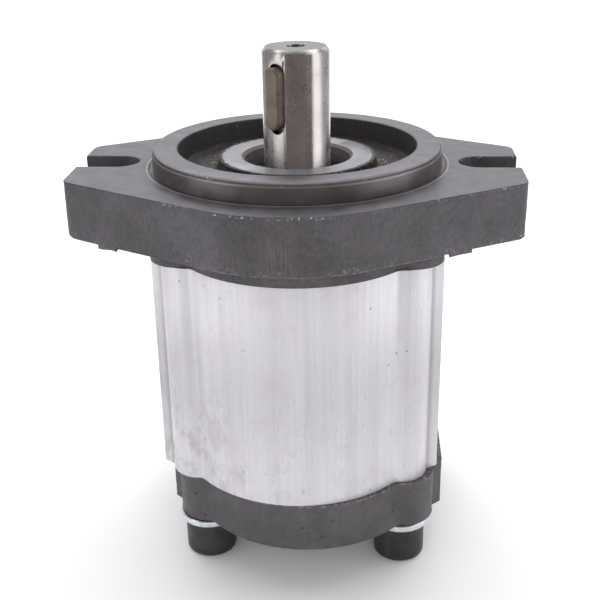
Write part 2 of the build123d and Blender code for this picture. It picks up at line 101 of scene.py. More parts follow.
# ---- shader building ----
class NodeBench:
    """Places and wires the nodes of one node tree."""

    def __init__(self, tree: bpy.types.NodeTree) -> None:
        """Start with an empty tree."""
        self.tree = tree
        self.tree.nodes.clear()

    def feed(self, socket: Socket, value: Value | Colour) -> None:
        """Link a socket, or set its own value.

        Args:
            socket: Input to feed.
            value: Output socket, number or colour.
        """
        if isinstance(value, Socket):
            self.tree.links.new(value, socket)
        elif isinstance(value, tuple) and len(socket.default_value) == 4:
            socket.default_value = (*value, 1.0)
        else:
            socket.default_value = value

    def node(self, kind: str, inputs: dict[int | str, Value | Colour], **settings: object) -> bpy.types.Node:
        """Add a node and feed its inputs.

        Args:
            kind: Type of the node, without its usual first word.
            inputs: What each input gets.
            settings: Properties to set on it.

        Returns:
            The new node.
        """
        made = self.tree.nodes.new(f"ShaderNode{kind}")
        for key, value in settings.items():
            setattr(made, key, value)
        for key, value in inputs.items():
            self.feed(made.inputs[key], value)
        return made

    def math(self, operation: str, first: Value, second: Value = 0.0) -> Socket:
        """Do one sum, by Blender's name of the operation."""
        return self.node("Math", {0: first, 1: second}, operation=operation).outputs[0]

    def times(self, *numbers: Value) -> Value:
        """Multiply numbers together."""
        return reduce(lambda first, other: self.math("MULTIPLY", first, other), numbers)

    def either(self, *masks: Value) -> Value:
        """Mask of the places where any of several masks is high."""
        return reduce(lambda first, other: self.math("MAXIMUM", first, other), masks)

    def apart(self, across: Value) -> Socket:
        """Size of a number without its sign."""
        return self.math("ABSOLUTE", across)

    def outside(self, mask: Value) -> Socket:
        """Mask of everything that another mask leaves out."""
        return self.math("SUBTRACT", 1.0, mask)

    def length(self, first: Value, second: Value) -> Socket:
        """Distance from two offsets at right angles."""
        return self.math("SQRT", self.math("ADD", self.times(first, first), self.times(second, second)))

    def ramp(self, value: Value, low: float, high: float, start: float = 0.0, end: float = 1.0) -> Socket:
        """Map the range from low to high softly onto the one from start to end, held at both ends."""
        inputs = dict(enumerate((value, low, high, start, end)))
        return self.node("MapRange", inputs, interpolation_type="SMOOTHSTEP").outputs[0]

    def band(self, value: Value, low: float, high: float, soft: float) -> Socket:
        """Mask that is one between two values, with edges as wide as soft says."""
        rise = self.ramp(value, low - soft / 2, low + soft / 2)
        return self.times(rise, self.ramp(value, high - soft / 2, high + soft / 2, 1.0, 0.0))

    def mix(self, share: Value, first: Socket | Colour, second: Socket | Colour) -> Socket:
        """Mix two colours by the share of the second."""
        return self.node("Mix", {0: share, 6: first, 7: second}, data_type="RGBA").outputs[2]

    def lay(self, colour: Socket | Colour, over: Socket | Colour, *masks: Value) -> Socket:
        """Lay a second colour over a first where every mask is high."""
        return self.mix(self.times(*masks), colour, over)

    def vary(
        self, colour: Socket | Colour, pattern: Value, dark: float, light: float,
        low: float = 0.3, high: float = 0.7,
    ) -> Socket:
        """Multiply a colour by a grey that goes from dark to light as a pattern goes from low to high."""
        inputs = {0: 1.0, 6: colour, 7: self.ramp(pattern, low, high, dark, light)}
        return self.node("Mix", inputs, data_type="RGBA", blend_type="MULTIPLY").outputs[2]


class ShaderBench(NodeBench):
    """Builds one material from patterns laid out in millimetres."""

    def __init__(self, name: str) -> None:
        """Start a material with a principled shader and its output.

        Args:
            name: Name of the material.
        """
        self.material = bpy.data.materials.new(name)
        self.material.use_nodes = True
        super().__init__(self.material.node_tree)
        self.shader = self.node("BsdfPrincipled", {})
        self.node("OutputMaterial", {"Surface": self.shader.outputs["BSDF"]})
        self.coords = self.node("TexCoord", {})

    def stretched(self, stretch: Colour, turn: float = 0.0) -> Socket:
        """Object position stretched along each axis, then turned about Y in radians to slant a pattern."""
        inputs = {"Vector": self.coords.outputs["Object"], "Rotation": (0.0, turn, 0.0), "Scale": stretch}
        return self.node("Mapping", inputs).outputs[0]

    def axes(self) -> tuple[Socket, Socket, Socket]:
        """Object position as three numbers in millimetres."""
        split = self.node("SeparateXYZ", {0: self.stretched((1 / MM, 1 / MM, 1 / MM))})
        return split.outputs[0], split.outputs[1], split.outputs[2]

    def facing_up(self) -> Socket:
        """Z part of the surface normal."""
        return self.node("SeparateXYZ", {0: self.coords.outputs["Normal"]}).outputs[2]

    def radius(self) -> Socket:
        """Distance from the drive shaft's axis in millimetres."""
        x, y, _ = self.axes()
        return self.length(x, y)

    def cloud(
        self, size: float, detail: float = 3.0, rough: float = 0.55, stretch: Colour = EVEN, turn: float = 0.0
    ) -> Socket:
        """Noise pattern.

        Args:
            size: Size of its larger features, millimetres.
            detail: How many finer layers it has.
            rough: Strength of the finer layers.
            stretch: Factor along each axis; a small one draws the pattern out.
            turn: Slant in radians.

        Returns:
            A number from zero to one, mostly near a half.
        """
        inputs = {"Vector": self.stretched(stretch, turn), "Scale": 1.0 / (size * MM)}
        inputs |= {"Detail": detail, "Roughness": rough}
        return self.node("TexNoise", inputs).outputs["Fac"]

    def patch(self, low: float, high: float, *pattern: float | Colour) -> Socket:
        """Mask that rises between two heights of a noise pattern, whose arguments are those of cloud."""
        return self.ramp(self.cloud(*pattern), low, high)

    def dots(self, size: float, reach: float) -> Socket:
        """Mask of round dots, a size in millimetres apart and reaching a share of that."""
        inputs = {"Vector": self.coords.outputs["Object"], "Scale": 1.0 / (size * MM)}
        return self.ramp(self.node("TexVoronoi", inputs).outputs["Distance"], reach * 0.6, reach, 1.0, 0.0)

    def relief(self, height: Value, depth: float, under: Socket | None = None) -> Socket:
        """Bump from a height pattern.

        Args:
            height: Pattern from zero to one.
            depth: Height of one in millimetres.
            under: Normal that the bump is laid on.

        Returns:
            The new normal.
        """
        inputs = {"Strength": 1.0, "Distance": depth * MM, "Height": height}
        if under is not None:
            inputs["Normal"] = under
        return self.node("Bump", inputs).outputs[0]

    def done(
        self, colour: Socket | Colour, metal: Value, rough: Value, normal: Socket | None = None
    ) -> Material:
        """Connect the shader and hand over the material.

        Args:
            colour: Base colour.
            metal: Metallic share.
            rough: Roughness.
            normal: Surface normal with its bumps.

        Returns:
            The finished material.
        """
        inputs = {"Base Color": colour, "Metallic": metal, "Roughness": rough}
        if normal is not None:
            inputs["Normal"] = normal
        for key, value in inputs.items():
            self.feed(self.shader.inputs[key], value)
        return self.material


# ---- finishes ----
@dataclass(frozen=True)
class FlangeIron:
    """Dark cast iron with machined faces, a turned pilot and a rough black recess."""

    skin: Colour = (0.094, 0.087, 0.096)
    skin_dark: Colour = (0.068, 0.062, 0.068)
    machined: Colour = (0.133, 0.127, 0.139)
    boss: Colour = (0.27, 0.261, 0.279)
    bore: Colour = (0.13, 0.12, 0.12)
    turned: Colour = (0.160, 0.144, 0.143)
    # colour of the painted highlights at the pilot's foot and on its chamfer
    edge: Colour = (0.34, 0.325, 0.335)
    hollow: Colour = (0.036, 0.031, 0.030)
    chip: Colour = (0.50, 0.48, 0.47)
    grit: Colour = (0.24, 0.20, 0.17)
    rust: Colour = (0.165, 0.125, 0.095)
    pilot_r: float = 41.275
    rim_r: float = 34.0
    relief_r: float = 42.75
    boss_r: float = 22.4
    bore_r: float = 17.0
    slot_half: float = 5.95
    slot_x: float = 45.7
    face_level: Span = (-0.6, 0.4)
    boss_level: Span = (1.6, 2.6)
    rim_level: Span = (4.9, 5.1)
    chamfer_level: Span = (4.15, 4.55)
    top_edge: Span = (-0.75, -0.02)
    low_edge: Span = (-15.9, -14.2)
    chipped_x: Span = (-36.0, -26.0)
    gate_x: Span = (-6.5, 2.5)
    gate_y: Span = (-49.0, -46.0)
    gate_z: Span = (-9.0, -3.0)

    def zones(self, bench: ShaderBench) -> tuple[Socket, Socket, Socket]:
        """Masks of the machined faces, the turned wall and the hollow.

        Args:
            bench: Material being built.

        Returns:
            The three masks.
        """
        _, _, z = bench.axes()
        up = bench.ramp(bench.facing_up(), 0.75, 0.95)
        radius = bench.radius()
        upright = bench.ramp(bench.facing_up(), 0.45, 0.75, 1.0, 0.0)
        ragged = bench.times(bench.math("SUBTRACT", bench.cloud(0.9, 5.0, 0.75), 0.5), 2.6)
        edge = bench.math("ADD", radius, ragged)
        on_boss = bench.ramp(edge, self.boss_r - 0.9, self.boss_r - 0.6, 1.0, 0.0)
        boss_top = bench.times(bench.band(z, *self.boss_level, 0.2), on_boss)
        tops = bench.either(bench.band(z, *self.face_level, 0.2), bench.ramp(z, *self.rim_level))
        machined = bench.times(up, bench.either(tops, boss_top))
        wall = bench.band(radius, self.pilot_r - 0.9, self.pilot_r + 0.3, 0.1)
        wall = bench.times(wall, upright, bench.ramp(z, -0.5, -0.4))
        ring = bench.band(radius, self.boss_r - 3.0, self.rim_r + 0.1, 0.2)
        hollow = bench.times(ring, bench.outside(machined), bench.ramp(z, -4, -3))
        return machined, wall, hollow

    def casting_colour(self, bench: ShaderBench, fine: Socket) -> Socket:
        """Colour of the cast skin: patches, slanting scale marks, painted shade in the ear slots, chips and
        the ground gate mark.

        Args:
            bench: Material being built.
            fine: Fine noise shared with the bumps.

        Returns:
            The colour.
        """
        x, y, z = bench.axes()
        patches = bench.patch(0.35, 0.68, 22.0, 4.0, 0.6)
        scales = bench.cloud(0.9, 4.0, 0.65, (1.0, 1.0, 0.7), 0.6)
        colour = bench.mix(patches, self.skin_dark, self.skin)
        colour = bench.vary(colour, scales, 0.84, 1.14)
        colour = bench.vary(colour, fine, 0.88, 1.12, 0.25, 0.75)
        gate = bench.times(
            bench.band(x, *self.gate_x, 3.0),
            bench.ramp(y, *self.gate_y, 1.0, 0.0),
            bench.ramp(z, *self.gate_z, 1.0, 0.15),
        )
        lines = bench.patch(0.40, 0.62, 0.42, 3.0, 0.6, (1.0, 1.0, 0.03))
        colour = bench.lay(colour, self.rust, gate, lines, 0.42)
        # painted shade: the walls inside the ear slots darkened towards the hollow colour
        slot = bench.times(
            bench.ramp(bench.apart(x), self.slot_x, self.slot_x + 0.2),
            bench.ramp(bench.apart(y), self.slot_half, self.slot_half + 0.15, 1.0, 0.0),
            bench.ramp(z, -0.5, -0.3, 1.0, 0.0),
        )
        colour = bench.lay(colour, self.hollow, slot, 0.7)
        in_bore = bench.ramp(bench.radius(), self.bore_r, self.bore_r + 0.3, 1.0, 0.0)
        colour = bench.mix(in_bore, colour, self.bore)
        nicked = bench.patch(0.56, 0.60, 0.9, 4.0, 0.75)
        where = bench.patch(0.44, 0.56, 13.0, 3.0, 0.6)
        inner = bench.ramp(x, *self.chipped_x)
        top_edge = bench.times(bench.band(z, *self.top_edge, 0.3), nicked, where, inner)
        low_edge = bench.times(bench.band(z, *self.low_edge, 0.7), nicked, where, inner, 0.35)
        loose = bench.times(bench.patch(0.73, 0.77, 1.7, 4.0, 0.8), 0.5)
        chips = bench.either(top_edge, low_edge, loose)
        return bench.mix(chips, colour, self.chip)

    def build(self, name: str) -> Material:
        """Build the material.

        Args:
            name: Name of the material.

        Returns:
            The material.
        """
        bench = ShaderBench(name)
        machined, wall, hollow = self.zones(bench)
        fine = bench.cloud(0.8, 5.0, 0.7)
        colour = self.casting_colour(bench, fine)
        faces = bench.vary(self.machined, bench.cloud(8.0, 5.0, 0.65), 0.90, 1.08)
        faces = bench.vary(faces, bench.cloud(0.7, 3.0, 0.7), 0.94, 1.05)
        _, _, z = bench.axes()
        # painted light: the machined finish painted darker on the low ear tops and lighter up on the pilot
        # rim
        faces = bench.vary(faces, z, 0.93, 1.08, 1.0, 3.0)
        raised = bench.times(machined, bench.band(z, *self.boss_level, 0.2))
        faces = bench.mix(raised, faces, bench.vary(self.boss, bench.cloud(5.0, 5.0), 0.85, 1.12))
        colour = bench.mix(machined, colour, faces)
        # painted highlight: a light ring round the outer edge of the relief groove at the pilot's foot
        painted_lip_highlight = bench.band(bench.radius(), self.relief_r, self.relief_r + 0.45, 0.2)
        painted_lip_highlight = bench.times(painted_lip_highlight, bench.band(z, -0.1, 0.1, 0.05), 0.7)
        colour = bench.mix(painted_lip_highlight, colour, self.edge)
        sheen = bench.vary(self.turned, bench.cloud(10.0, 3.0), 0.85, 1.25)
        nicks = bench.patch(0.72, 0.75, 1.3, 4.0, 0.8)
        sheen = bench.lay(sheen, self.chip, nicks, 0.6)
        # painted highlight: a light line at the lower edge of the pilot's chamfer
        sheen = bench.lay(sheen, self.edge, bench.band(z, *self.chamfer_level, 0.2), 0.8)
        colour = bench.mix(wall, colour, sheen)
        specks = bench.times(bench.patch(0.60, 0.68, 0.7, 3.0, 0.8), bench.patch(0.42, 0.56, 6.0, 3.0))
        rough_hollow = bench.lay(self.hollow, self.grit, specks, 0.6)
        colour = bench.mix(hollow, colour, rough_hollow)
        bare = bench.either(machined, wall)
        cast = bench.outside(bare)
        rough = bench.ramp(bench.cloud(5.0, 4.0), 0.3, 0.7, 0.50, 0.64)
        rough = bench.math("SUBTRACT", rough, bench.times(bare, 0.17))
        scales = bench.cloud(1.0, 5.0, 0.65, (1.0, 1.0, 0.75), 0.6)
        lumps = bench.relief(bench.times(scales, cast), 0.30)
        grit = bench.relief(bench.times(fine, cast), 0.10, lumps)
        pitted = bench.relief(bench.times(bench.cloud(1.2, 4.0, 0.75), hollow), 0.5, grit)
        tooled = bench.relief(bench.times(bench.cloud(0.35, 2.0, 0.5), bare), 0.008, pitted)
        metallic = bench.math("SUBTRACT", bench.ramp(bare, 0.0, 1.0, 0.25, 0.80), bench.times(painted_lip_highlight, 0.8))
        return bench.done(colour, metallic, rough, tooled)


@dataclass(frozen=True)
class CoverIron:
    """Pitted dark cast iron."""

    skin: Colour = (0.094, 0.087, 0.093)
    skin_dark: Colour = (0.072, 0.066, 0.071)
    pit: Colour = (0.022, 0.020, 0.022)
    chip: Colour = (0.42, 0.38, 0.34)
    joint_z: float = -93.7

    def build(self, name: str) -> Material:
        """Build the material.

        Args:
            name: Name of the material.

        Returns:
            The material.
        """
        bench = ShaderBench(name)
        _, _, z = bench.axes()
        patches = bench.patch(0.35, 0.68, 9.0, 5.0, 0.65)
        fine = bench.cloud(0.9, 4.0, 0.7)
        colour = bench.mix(patches, self.skin_dark, self.skin)
        colour = bench.vary(colour, fine, 0.88, 1.12, 0.25, 0.75)
        pits = bench.times(bench.dots(2.6, 0.20), bench.patch(0.5, 0.62, 5.0))
        colour = bench.lay(colour, self.pit, pits, 0.8)
        edge = bench.times(
            bench.band(z, self.joint_z - 0.8, self.joint_z + 0.2, 0.4),
            bench.patch(0.50, 0.62, 1.4, 4.0, 0.7),
        )
        colour = bench.lay(colour, self.chip, edge, 0.35)
        lumps = bench.relief(bench.cloud(2.2, 5.0, 0.65), 0.22)
        holes = bench.relief(bench.outside(pits), 0.22, lumps)
        grit = bench.relief(bench.cloud(0.45, 3.0, 0.7), 0.09, holes)
        rough = bench.ramp(bench.cloud(4.0, 4.0), 0.3, 0.7, 0.48, 0.64)
        return bench.done(colour, 0.25, rough, grit)


@dataclass(frozen=True)
class ExtrudedAluminium:
    """Bright drawn aluminium with long fine lines, stains, smudges and pits."""

    bright: Colour = (0.557, 0.546, 0.568)
    dull: Colour = (0.512, 0.499, 0.521)
    # stain colour, also laid into the creases between pads and lobes as painted shade
    stain_and_crease_shade: Colour = (0.31, 0.283, 0.28)
    pit: Colour = (0.16, 0.13, 0.12)
    blush: Colour = (0.475, 0.43, 0.445)
    smudge_x: Span = (-34.0, 8.0)
    smudge_z: Span = (-84.0, -48.0)
    pad_face_x: Span = (41.9, 42.2)
    pad_edge_y: Span = (-9.0, -7.95)
    painted_shade_pad_bevel_x: Span = (39.0, 39.5)
    # height spans of painted light: the body brighter towards its top and towards its bottom
    top_z: Span = (-58.0, -27.0)
    painted_light_low_z: Span = (-94.0, -62.0)
    crease_x: float = 39.1
    crease_y: float = -13.6
    middle_y: float = 18.0

    def build(self, name: str) -> Material:
        """Build the material.

        Args:
            name: Name of the material.

        Returns:
            The material.
        """
        bench = ShaderBench(name)
        x, y, z = bench.axes()
        hair = bench.cloud(0.35, 2.0, 0.6, (1.0, 1.0, 0.012))
        lines = bench.cloud(1.6, 4.0, 0.65, (1.0, 1.0, 0.012))
        broad = bench.cloud(9.0, 3.0, 0.5, (1.0, 1.0, 0.10))
        colour = bench.mix(bench.ramp(lines, 0.32, 0.68), self.dull, self.bright)
        colour = bench.vary(colour, hair, 0.96, 1.03, 0.2, 0.8)
        colour = bench.vary(colour, broad, 0.96, 1.03)
        low_left = bench.times(
            bench.ramp(z, *self.smudge_z, 1.0, 0.12),
            bench.ramp(x, *self.smudge_x, 1.0, 0.22),
        )
        blots = bench.patch(0.46, 0.64, 6.0, 6.0, 0.72, (1.0, 1.0, 0.7), 0.5)
        colour = bench.lay(colour, self.stain_and_crease_shade, blots, low_left, 0.58)
        blush = bench.patch(0.52, 0.70, 11.0, 5.0, 0.7)
        colour = bench.lay(colour, self.blush, blush, 0.45)
        marks = bench.patch(0.61, 0.70, 2.6, 5.0, 0.78, (1.0, 1.0, 0.4))
        colour = bench.lay(colour, self.stain_and_crease_shade, marks, 0.45)
        freckles = bench.times(bench.patch(0.70, 0.76, 0.75, 3.0, 0.8), bench.patch(0.45, 0.6, 6.0))
        pits = bench.times(bench.dots(4.5, 0.085), bench.patch(0.46, 0.56, 12.0))
        pits = bench.either(pits, bench.times(freckles, 0.5))
        colour = bench.lay(colour, self.pit, pits, 0.75)
        # painted shade: the creases between side pads and bolt lobes darkened
        colour = bench.lay(colour, self.stain_and_crease_shade, self.painted_crease_shade(bench), 0.72)
        wander = bench.times(bench.math("SUBTRACT", bench.cloud(1.1, 3.0, 0.8), 0.5), 3.6)
        sawn = bench.times(
            bench.ramp(bench.apart(x), *self.pad_face_x),
            bench.band(bench.math("ADD", y, wander), *self.pad_edge_y, 0.15),
        )
        colour = bench.lay(colour, self.pit, sawn, 0.75)
        colour = bench.vary(colour, bench.cloud(0.5, 3.0, 0.7), 0.965, 1.03)
        # painted light: the body painted brighter towards its top, just under the flange
        colour = bench.vary(colour, z, 1.0, 1.35, *self.top_z)
        # painted light: the body painted brighter towards its bottom
        colour = bench.vary(colour, z, 1.22, 1.0, *self.painted_light_low_z)
        # painted shade: the pad bevels and pads painted darker than the rest of the body
        colour = bench.vary(colour, bench.apart(x), 1.0, 0.84, *self.painted_shade_pad_bevel_x)
        rough = bench.ramp(bench.cloud(2.2, 4.0, 0.6, (1.0, 1.0, 0.03)), 0.3, 0.7, 0.38, 0.50)
        grooves = bench.relief(lines, 0.008)
        scratches = bench.relief(hair, 0.004, grooves)
        hollows = bench.relief(bench.outside(pits), 0.08, scratches)
        return bench.done(colour, 0.38, rough, hollows)

    def painted_crease_shade(self, bench: ShaderBench) -> Socket:
        """Mask of the painted shade in the four creases between side pads and bolt lobes.

        Args:
            bench: Material being built.

        Returns:
            The mask.
        """
        x, y, _ = bench.axes()
        across = bench.math("SUBTRACT", bench.apart(x), self.crease_x)
        along = bench.apart(bench.math("SUBTRACT", y, self.middle_y))
        along = bench.math("SUBTRACT", along, self.middle_y - self.crease_y)
        return bench.ramp(bench.length(across, along), 0.2, 2.2, 1.0, 0.0)


@dataclass(frozen=True)
class Metal:
    """Worked metal with fine marks, cloudy tone and a few pits."""

    light: Colour
    dark: Colour
    rough: Span
    metallic: float = 1.0
    grain: Grain = Grain.NONE
    grain_size: float = 0.12
    grain_depth: float = 0.004
    tone_size: float = 6.0
    pits: float = 0.3
    pit_size: float = 5.0

    def stretch(self) -> Colour:
        """Stretch of the marks along each axis."""
        return {
            Grain.NONE: EVEN,
            Grain.ALONG_Z: (1.0, 1.0, 0.02),
            Grain.ROUND_Z: (0.02, 0.02, 1.0),
        }[self.grain]

    def build(self, name: str) -> Material:
        """Build the material.

        Args:
            name: Name of the material.

        Returns:
            The material.
        """
        bench = ShaderBench(name)
        marks = bench.cloud(self.grain_size, 2.0, 0.6, self.stretch())
        tone = bench.cloud(self.tone_size, 4.0, 0.6)
        colour = bench.mix(bench.ramp(tone, 0.35, 0.65), self.dark, self.light)
        colour = bench.vary(colour, marks, 0.94, 1.05, 0.2, 0.8)
        spots = bench.times(bench.dots(self.pit_size, 0.10), bench.patch(0.45, 0.55, 9.0))
        colour = bench.vary(colour, spots, 1.0, 1.0 - self.pits, 0.0, 1.0)
        rough = bench.ramp(bench.cloud(self.tone_size * 0.6, 4.0), 0.3, 0.7, *self.rough)
        normal = bench.relief(marks, self.grain_depth)
        return bench.done(colour, self.metallic, rough, normal)


@dataclass(frozen=True)
class ShaftSteel:
    """Ground shaft steel with turned end face, painted shade in the keyway and centre hole, and a few pits.
    """

    light: Colour = (0.70, 0.665, 0.65)
    dark: Colour = (0.60, 0.565, 0.545)
    shadow: Colour = (0.10, 0.085, 0.08)
    pit: Colour = (0.16, 0.14, 0.13)
    top_z: float = 32.7
    key_angle: float = -122.0
    key_half: float = 2.5
    key_z: Span = (9.4, 29.4)
    floor_r: float = 9.3
    drilled_r: Span = (2.6, 2.9)
    painted_shade_z: Span = (12.0, 28.0)

    def keyway(self, bench: ShaderBench) -> Socket:
        """Mask of the keyway's inside.

        Args:
            bench: Material being built.

        Returns:
            The mask.
        """
        x, y, z = bench.axes()
        turn = math.radians(self.key_angle)
        out = bench.math("ADD", bench.times(x, math.cos(turn)), bench.times(y, math.sin(turn)))
        across = bench.math("SUBTRACT", bench.times(y, math.cos(turn)), bench.times(x, math.sin(turn)))
        slot = bench.ramp(bench.apart(across), self.key_half, self.key_half + 0.1, 1.0, 0.0)
        sunk = bench.ramp(bench.radius(), self.floor_r - 0.1, self.floor_r, 1.0, 0.0)
        return bench.times(slot, sunk, bench.ramp(out, 3, 5), bench.band(z, *self.key_z, 0.2))

    def build(self, name: str) -> Material:
        """Build the material.

        Args:
            name: Name of the material.

        Returns:
            The material.
        """
        bench = ShaderBench(name)
        _, _, z = bench.axes()
        marks = bench.cloud(0.7, 2.0, 0.6, (0.02, 0.02, 1.0))
        colour = bench.mix(bench.patch(0.35, 0.65, 9.0, 3.0, 0.5), self.dark, self.light)
        colour = bench.vary(colour, marks, 0.97, 1.03, 0.2, 0.8)
        spots = bench.times(bench.patch(0.80, 0.83, 0.8, 3.0, 0.8), bench.patch(0.52, 0.60, 5.0))
        colour = bench.lay(colour, self.pit, spots, 0.8)
        colour = bench.lay(colour, self.shadow, self.keyway(bench), 0.85)
        drilled = bench.ramp(bench.radius(), *self.drilled_r, 1.0, 0.0)
        end = bench.times(bench.ramp(z, self.top_z - 8, self.top_z - 7), drilled)
        colour = bench.lay(colour, self.shadow, end, 0.88)
        flat = bench.ramp(bench.facing_up(), 0.6, 0.9)
        turned = bench.times(flat, bench.ramp(z, self.top_z - 1, self.top_z - 0.5))
        colour = bench.vary(colour, turned, 1.0, 0.40, 0.0, 1.0)
        # painted shade: the shaft painted darker towards its top end, dimming its reflections there
        colour = bench.vary(colour, z, 1.0, 0.89, *self.painted_shade_z)
        rough = bench.ramp(bench.cloud(3.0, 4.0), 0.3, 0.7, 0.25, 0.32)
        rings = bench.cloud(0.3, 2.0, 0.5)
        normal = bench.relief(bench.times(rings, turned), 0.01)
        bench.shader.inputs["Anisotropic"].default_value = 0.65
        bench.shader.inputs["Anisotropic Rotation"].default_value = 0.25
        return bench.done(colour, 1.0, rough, normal)


@dataclass(frozen=True)
class Moulded:
    """Rubber or plastic with a faint orange-peel surface."""

    light: Colour
    dark: Colour
    rough: Span = (0.5, 0.65)

    def build(self, name: str) -> Material:
        """Build the material.

        Args:
            name: Name of the material.

        Returns:
            The material.
        """
        bench = ShaderBench(name)
        tone = bench.cloud(4.0, 4.0)
        colour = bench.mix(bench.ramp(tone, 0.3, 0.7), self.dark, self.light)
        rough = bench.ramp(bench.cloud(1.5, 3.0), 0.3, 0.7, *self.rough)
        return bench.done(colour, 0.0, rough, bench.relief(bench.cloud(0.4, 3.0), 0.02))


Finish = FlangeIron | CoverIron | ExtrudedAluminium | ShaftSteel | Metal | Moulded
FINISHES: dict[str, Finish] = {
    "flange_iron": FlangeIron(),
    "cover_iron": CoverIron(),
    "body_aluminium": ExtrudedAluminium(),
    "shaft_steel": ShaftSteel(),
    "key_steel": Metal(
        (0.225, 0.175, 0.138), (0.15, 0.118, 0.092), (0.34, 0.46), metallic=0.5, grain=Grain.ALONG_Z
    ),
    "block_aluminium": Metal((0.72, 0.71, 0.72), (0.6, 0.59, 0.6), (0.3, 0.4), grain=Grain.ROUND_Z),
    "bush_bronze": Metal((0.58, 0.40, 0.20), (0.45, 0.30, 0.15), (0.3, 0.42), grain=Grain.ALONG_Z),
    "seal_rubber": Moulded((0.030, 0.030, 0.031), (0.018, 0.018, 0.019)),
    "backup_plastic": Moulded((0.78, 0.76, 0.69), (0.70, 0.68, 0.60), (0.4, 0.5)),
    "seal_case_steel": Metal((0.55, 0.52, 0.52), (0.40, 0.37, 0.37), (0.35, 0.5), metallic=0.7),
    "spring_steel": Metal((0.12, 0.115, 0.11), (0.07, 0.068, 0.066), (0.32, 0.45), metallic=0.8),
    "bolt_steel": Metal(
        (0.050, 0.046, 0.048), (0.028, 0.026, 0.027), (0.38, 0.52),
        metallic=0.45, grain=Grain.ALONG_Z, grain_size=0.3, grain_depth=0.01,
    ),
    "spring_washer_steel": Metal((0.06, 0.055, 0.055), (0.03, 0.028, 0.028), (0.35, 0.5), metallic=0.5),
    "fin_iron": Metal((0.24, 0.215, 0.20), (0.06, 0.055, 0.056), (0.45, 0.6), metallic=0.5, tone_size=1.6),
    "bare_chips": Metal((0.46, 0.42, 0.38), (0.24, 0.20, 0.17), (0.4, 0.55), metallic=0.7, tone_size=0.8),
    "zinc_washer": Metal(
        (0.80, 0.84, 0.87), (0.62, 0.66, 0.68), (0.22, 0.34), grain=Grain.ROUND_Z, tone_size=2.0
    ),
    "dowel_steel": Metal((0.6, 0.6, 0.61), (0.5, 0.5, 0.51), (0.2, 0.3), grain=Grain.ROUND_Z),
}


class Paintshop:
    """Makes each finish once and dresses nodes and pieces with it."""

    def __init__(self) -> None:
        """Start with no materials made."""
        self.made: dict[str, Material] = {}

    def material(self, slot: str) -> Material:
        """Material of a slot, made when first asked for.

        Args:
            slot: Material slot of the record.

        Returns:
            The material.
        """
        if slot not in self.made:
            self.made[slot] = FINISHES[slot].build(f"{slot}_finish")
        return self.made[slot]

    def dress(self, thing: Thing, slot: str) -> None:
        """Give every material slot of an object one finish.

        Args:
            thing: Object to dress.
            slot: Material slot of the record.
        """
        if not thing.data.materials:
            thing.data.materials.append(self.material(slot))
        for place in thing.material_slots:
            place.material = self.material(slot)

    def fit(self, piece: Thing, slot: str, finish: str = "") -> None:
        """Fix a new piece to the housing and dress it.

        Args:
            piece: Piece to fix.
            slot: Material slot of the record, whose finish it wears when no other is given.
            finish: Finish that it wears instead of the slot's own.
        """
        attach(piece, HOUSING)
        self.dress(piece, finish or slot)

    def dress_nodes(self) -> None:
        """Dress every CAD node with the finish its record slot names."""
        slots = {entry["node"]: entry["material_slot"] for entry in frame["record"]["subparts"]}
        for node, thing in frame["nodes"].items():
            self.dress(thing, slots[node])
            LOG.info("node %s has finish %s", node, slots[node])


# ---- mesh helpers ----
def piece_from(mesh: Mesh, name: str, smooth_below: float = 32.0) -> Thing:
    """Turn a bmesh into an object at the origin.

    Args:
        mesh: Finished bmesh, freed here.
        name: Name of the piece.
        smooth_below: Edges under this angle in degrees are shaded smooth.

    Returns:
        The new object.
    """
    data = bpy.data.meshes.new(name)
    mesh.to_mesh(data)
    mesh.free()
    data.shade_smooth()
    data.set_sharp_from_angle(angle=math.radians(smooth_below))
    thing = bpy.data.objects.new(name, data)
    bpy.context.scene.collection.objects.link(thing)
    LOG.info("piece %s has %d faces", name, len(data.polygons))
    return thing


def merged_copy(node: str) -> Mesh:
    """Copy a CAD node's mesh with its loose triangles joined.

    Args:
        node: Name of the node.

    Returns:
        The joined copy.
    """
    mesh = bmesh.new()
    mesh.from_mesh(frame["nodes"][node].data)
    bmesh.ops.remove_doubles(mesh, verts=mesh.verts, dist=WELD_GAP)
    bmesh.ops.dissolve_limit(mesh, angle_limit=math.radians(0.2), verts=mesh.verts, edges=mesh.edges)
    return mesh


def piece_in_place(mesh: Mesh, name: str, node: str) -> Thing:
    """Let a finished casting stand for its CAD node, its broad faces flat beside small rounded edges.

    Args:
        mesh: Finished bmesh, freed here.
        name: Name of the piece.
        node: CAD node that it replaces.

    Returns:
        The new object.
    """
    thing = piece_from(mesh, name)
    shading = thing.modifiers.new("crisp_faces", "WEIGHTED_NORMAL")
    shading.mode = "FACE_AREA"
    shading.weight = 60
    shading.keep_sharp = True
    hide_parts(node)
    return thing


def level_with(at: Vector, height: float) -> bool:
    """Whether a point lies at a height in millimetres."""
    return abs(at.z - height * MM) < NEAR * MM


def sharp_edges(mesh: Mesh, wanted: Callable[[Vector], bool]) -> list[Edge]:
    """Edges of a mesh that are sharp and lie where a test says.

    Args:
        mesh: Mesh to search.
        wanted: Test of an end point; both ends must pass.

    Returns:
        The edges.
    """
    limit = math.radians(SHARP_ANGLE)
    inner = [edge for edge in mesh.edges if len(edge.link_faces) == 2]
    sharp = [edge for edge in inner if abs(edge.calc_face_angle(0.0)) > limit]
    return [edge for edge in sharp if all(wanted(end.co) for end in edge.verts)]


